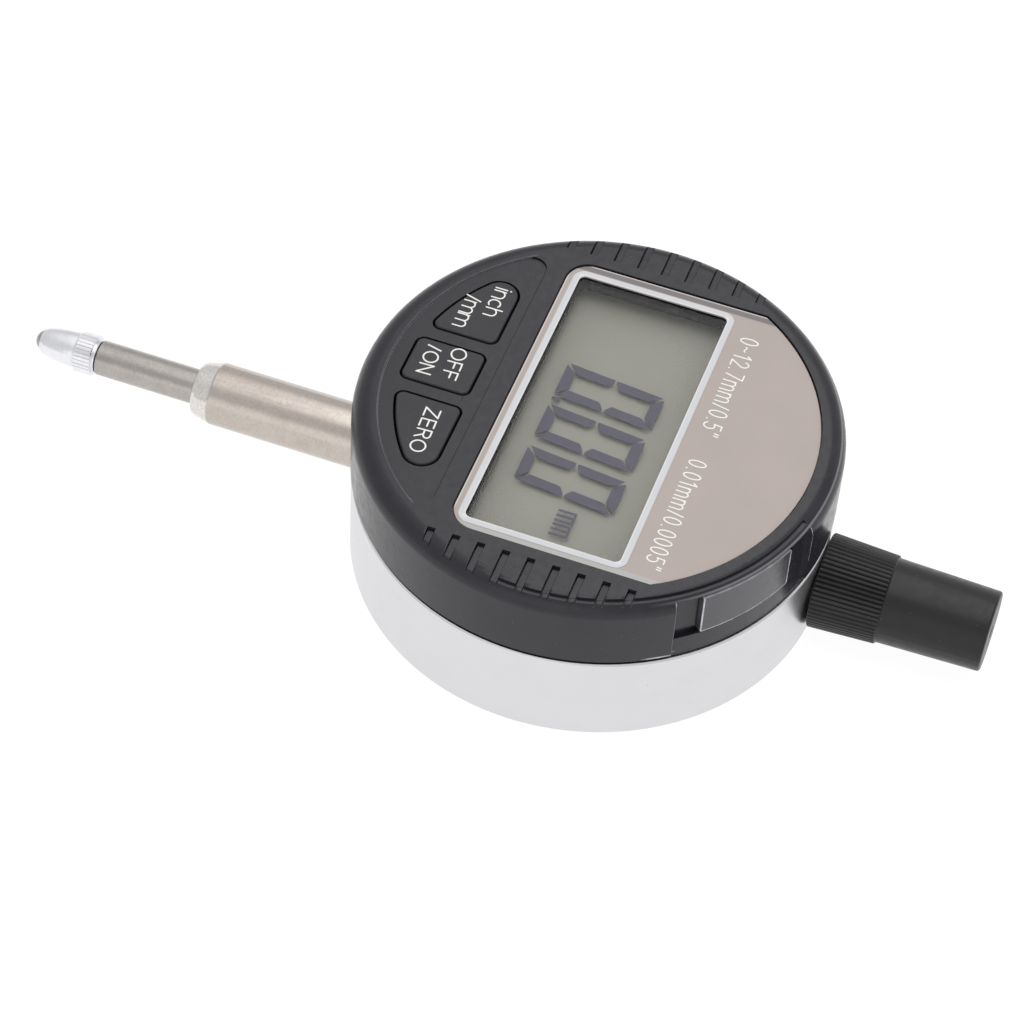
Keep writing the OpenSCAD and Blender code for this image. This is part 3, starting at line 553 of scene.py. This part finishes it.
def ribbon(build, path, width, z0, z1):
    """A flat stroke along path with round ends, standing from z0 up to z1."""
    pts = [Vector(p) for p in path]
    closed = len(pts) > 3 and (pts[0] - pts[-1]).length < 1e-6
    if closed:
        pts = pts[:-1]
    n = len(pts)
    half = width / 2
    sides = []
    for i, p in enumerate(pts):
        a = pts[(i - 1) % n] if closed else pts[max(i - 1, 0)]
        b = pts[(i + 1) % n] if closed else pts[min(i + 1, n - 1)]
        t = (b - a).normalized()
        sides.append((p + Vector((-t.y, t.x)) * half, p - Vector((-t.y, t.x)) * half))
    rings = [[build.point(*l, z1), build.point(*r, z1), build.point(*r, z0), build.point(*l, z0)]
             for l, r in sides]
    for i in range(n if closed else n - 1):
        a, b = rings[i], rings[(i + 1) % n]
        for k in range(4):
            build.faces.append((a[k], a[(k + 1) % 4], b[(k + 1) % 4], b[k]))
    if closed:
        return
    for end, sign in ((0, -1), (n - 1, 1)):
        p, (l, r) = pts[end], sides[end]
        start = math.atan2(*((l if sign < 0 else r) - p).yx)
        angles = [start + math.pi * k / 8 for k in range(9)]
        fan = [p + Vector((math.cos(a), math.sin(a))) * half for a in angles]
        top = [build.point(*q, z1) for q in fan]
        low = [build.point(*q, z0) for q in fan]
        build.faces.append(tuple(top))
        for k in range(8):
            build.faces.append((top[k], low[k], low[k + 1], top[k + 1]))


def write(name, body, text, start, height, stretch, gap, stroke, z, turn):
    """Prints text on the surface at z from start, the left end of its baseline (mm), reading
    along +X turned by turn degrees. The letters are height tall, stretched sideways, gap apart.
    """
    build = Build()
    c, s = math.cos(math.radians(turn)), math.sin(math.radians(turn))
    x = 0.0
    for letter in text:
        width, strokes = GLYPHS[letter]
        for k, path in enumerate(strokes):
            placed = []
            for px, py in path:
                u = x + px * height * stretch
                v = py * height
                placed.append((start[0] + u * c - v * s, start[1] + u * s + v * c))
            ribbon(build, placed, stroke, z - 0.01, z + 0.012 + 0.003 * k)
        x += width * height * stretch + gap
    return build.make(name, body, print_white.mat)


def box(name, body, low, high, material):
    build = Build()
    for i in range(8):
        build.point(*(high[k] if i >> k & 1 else low[k] for k in range(3)))
    build.faces = [(0, 2, 3, 1), (4, 5, 7, 6), (0, 1, 5, 4),
                   (2, 6, 7, 3), (0, 4, 6, 2), (1, 3, 7, 5)]
    return build.make(name, body, material)


# Both glasses of the display cell as one clear block with the segments inside it, so that
# light reaches the reflector through fewer surfaces.
CELL_HALF_X, CELL_HALF_Y = 22.2, 11.1
CELL_LOW_Z, CELL_TOP_Z = 20.52, 22.0
cell = box("lcd_cell_glass", "housing", (-CELL_HALF_X, -CELL_HALF_Y, CELL_LOW_Z),
           (CELL_HALF_X, CELL_HALF_Y, CELL_TOP_Z), lcd_pane)
cell_edge = cell.modifiers.new("edge", "BEVEL")
cell_edge.width, cell_edge.segments = 0.2 * MM, 2
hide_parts("lcd_front_glass", "lcd_back_glass")

SHEET_TOP = FACE_Z - 0.2
KEY_TOP = FACE_Z - 0.08
# name, body, text, start
# height, stretch, gap, stroke, surface, turn
LEGENDS = (
    ("range_legend", "housing", '0~12.7mm/0.5"', (-18.2, 12.0),
     2.2, 0.74, 0.526, 0.18, SHEET_TOP, 0),
    ("resolution_legend", "housing", '0.01mm/0.0005"', (2.7, 12.2),
     2.1, 0.74, 0.515, 0.18, SHEET_TOP, 0),
    ("unit_legend_upper", "unit_key", "inch", (-14.5, -18.5),
     1.98, 1.17, 0.36, 0.19, KEY_TOP, 0),
    ("unit_legend_lower", "unit_key", "/mm", (-12.0, -21.35),
     2.0, 1.1, 0.26, 0.19, KEY_TOP, 0),
    ("power_legend_upper", "power_key", "OFF", (-3.15, -19.8),
     1.8, 1.07, 0.5, 0.2, KEY_TOP, 2.5),
    ("power_legend_lower", "power_key", "/ON", (-2.45, -22.8),
     1.8, 1.03, 0.44, 0.2, KEY_TOP, 1.5),
    ("zero_legend", "zero_key", "ZERO", (7.05, -19.45),
     1.8, 1.04, 0.49, 0.2, KEY_TOP, 2.9),
)
for legend in LEGENDS:
    write(*legend)


# ---------------------------------------------------------------- stage, lights, camera

def stage_plane():
    # Off centre, so that the seam between its two triangles doesn't pass under the object.
    low, high, z = (-2.0, -4.0), (4.0, 2.0), -0.03 * MM
    me = bpy.data.meshes.new("floor")
    me.from_pydata([(*low, z), (high[0], low[1], z), (*high, z), (low[0], high[1], z)], [],
                   [(0, 1, 2, 3)])
    ob = bpy.data.objects.new("floor", me)
    bpy.context.scene.collection.objects.link(ob)
    s = Surface("floor_paper", (90, 90, 90), 0.9, Specular_IOR_Level=0.0)
    s.put("Emission Color", (1, 1, 1, 1))
    s.put("Emission Strength", 0.95)
    # The floor shows from above only, so that the back can be looked at from below.
    below = s.new("ShaderNodeNewGeometry").outputs["Backfacing"]
    clear, mix = s.new("ShaderNodeBsdfTransparent"), s.new("ShaderNodeMixShader")
    for link in ((below, mix.inputs[0]), (s.shader.outputs[0], mix.inputs[1]),
                 (clear.outputs[0], mix.inputs[2]),
                 (mix.outputs[0], s.tree.nodes["Material Output"].inputs["Surface"])):
        s.join(*link)
    me.materials.append(s.mat)


def area_light(name, place, target, size, power):
    data = bpy.data.lights.new(name, "AREA")
    data.shape = "RECTANGLE"
    data.size, data.size_y = size
    data.energy = power
    ob = bpy.data.objects.new(name, data)
    ob.location = place
    ob.rotation_mode = "QUATERNION"
    ob.rotation_quaternion = (Vector(target) - Vector(place)).to_track_quat("-Z", "Y")
    bpy.context.scene.collection.objects.link(ob)


def camera():
    """The photograph's view: aim, distance, direction and roll of the lens."""
    aim = Vector((6.98, -7.96, 10.0)) * MM
    distance = 424.55 * MM
    elevation, azimuth, roll = (math.radians(a) for a in (50.38, 16.87, -4.07))
    back = Vector((math.cos(elevation) * math.cos(azimuth), math.cos(elevation) * math.sin(azimuth),
                   math.sin(elevation)))
    right = Vector((0, 0, 1)).cross(back).normalized()
    up = back.cross(right)
    tilted_up = up * math.cos(roll) + right * math.sin(roll)
    tilted_right = tilted_up.cross(back)
    data = bpy.data.cameras.new("camera")
    data.lens = 122.85
    data.sensor_width = 36.0
    data.clip_start, data.clip_end = 0.01, 10.0
    ob = bpy.data.objects.new("camera", data)
    turn = Matrix((tilted_right, tilted_up, back)).transposed().to_4x4()
    ob.matrix_world = Matrix.Translation(aim + back * distance) @ turn
    bpy.context.scene.collection.objects.link(ob)
    bpy.context.scene.camera = ob


def surround(even, lobes):
    """An even pale surround with soft brighter regions.

    Each lobe is its direction, half angle in degrees and extra strength."""
    world = bpy.data.worlds.new("world")
    world.use_nodes = True
    tree = world.node_tree
    place = tree.nodes.new("ShaderNodeTexCoord").outputs["Generated"]
    total = None
    for direction, angle, extra in lobes:
        dot = tree.nodes.new("ShaderNodeVectorMath")
        dot.operation = "DOT_PRODUCT"
        dot.inputs[1].default_value = Vector(direction).normalized()
        tree.links.new(place, dot.inputs[0])
        m = tree.nodes.new("ShaderNodeMapRange")
        m.interpolation_type = "SMOOTHSTEP"
        m.inputs["From Min"].default_value = math.cos(math.radians(angle))
        m.inputs["From Max"].default_value = math.cos(math.radians(angle * 0.2))
        m.inputs["To Min"].default_value = 0.0 if total else even
        m.inputs["To Max"].default_value = extra + (0.0 if total else even)
        tree.links.new(dot.outputs["Value"], m.inputs["Value"])
        if total:
            add = tree.nodes.new("ShaderNodeMath")
            tree.links.new(total, add.inputs[0])
            tree.links.new(m.outputs["Result"], add.inputs[1])
            total = add.outputs[0]
        else:
            total = m.outputs["Result"]
    tree.nodes["Background"].inputs["Color"].default_value = (1, 1, 1, 1)
    tree.links.new(total, tree.nodes["Background"].inputs["Strength"])
    bpy.context.scene.world = world


stage_plane()
surround(0.74, [((-0.24, 0.0, 0.97), 50.0, 0.3), ((0.98, 0.0, 0.2), 32.0, 0.5)])
area_light("top_light", (-0.2, 0.0, 0.8), (0, 0, 0), (0.45, 1.0), 1.8)
camera()
bpy.context.scene.view_settings.view_transform = "Standard"

bpy.context.view_layer.update()
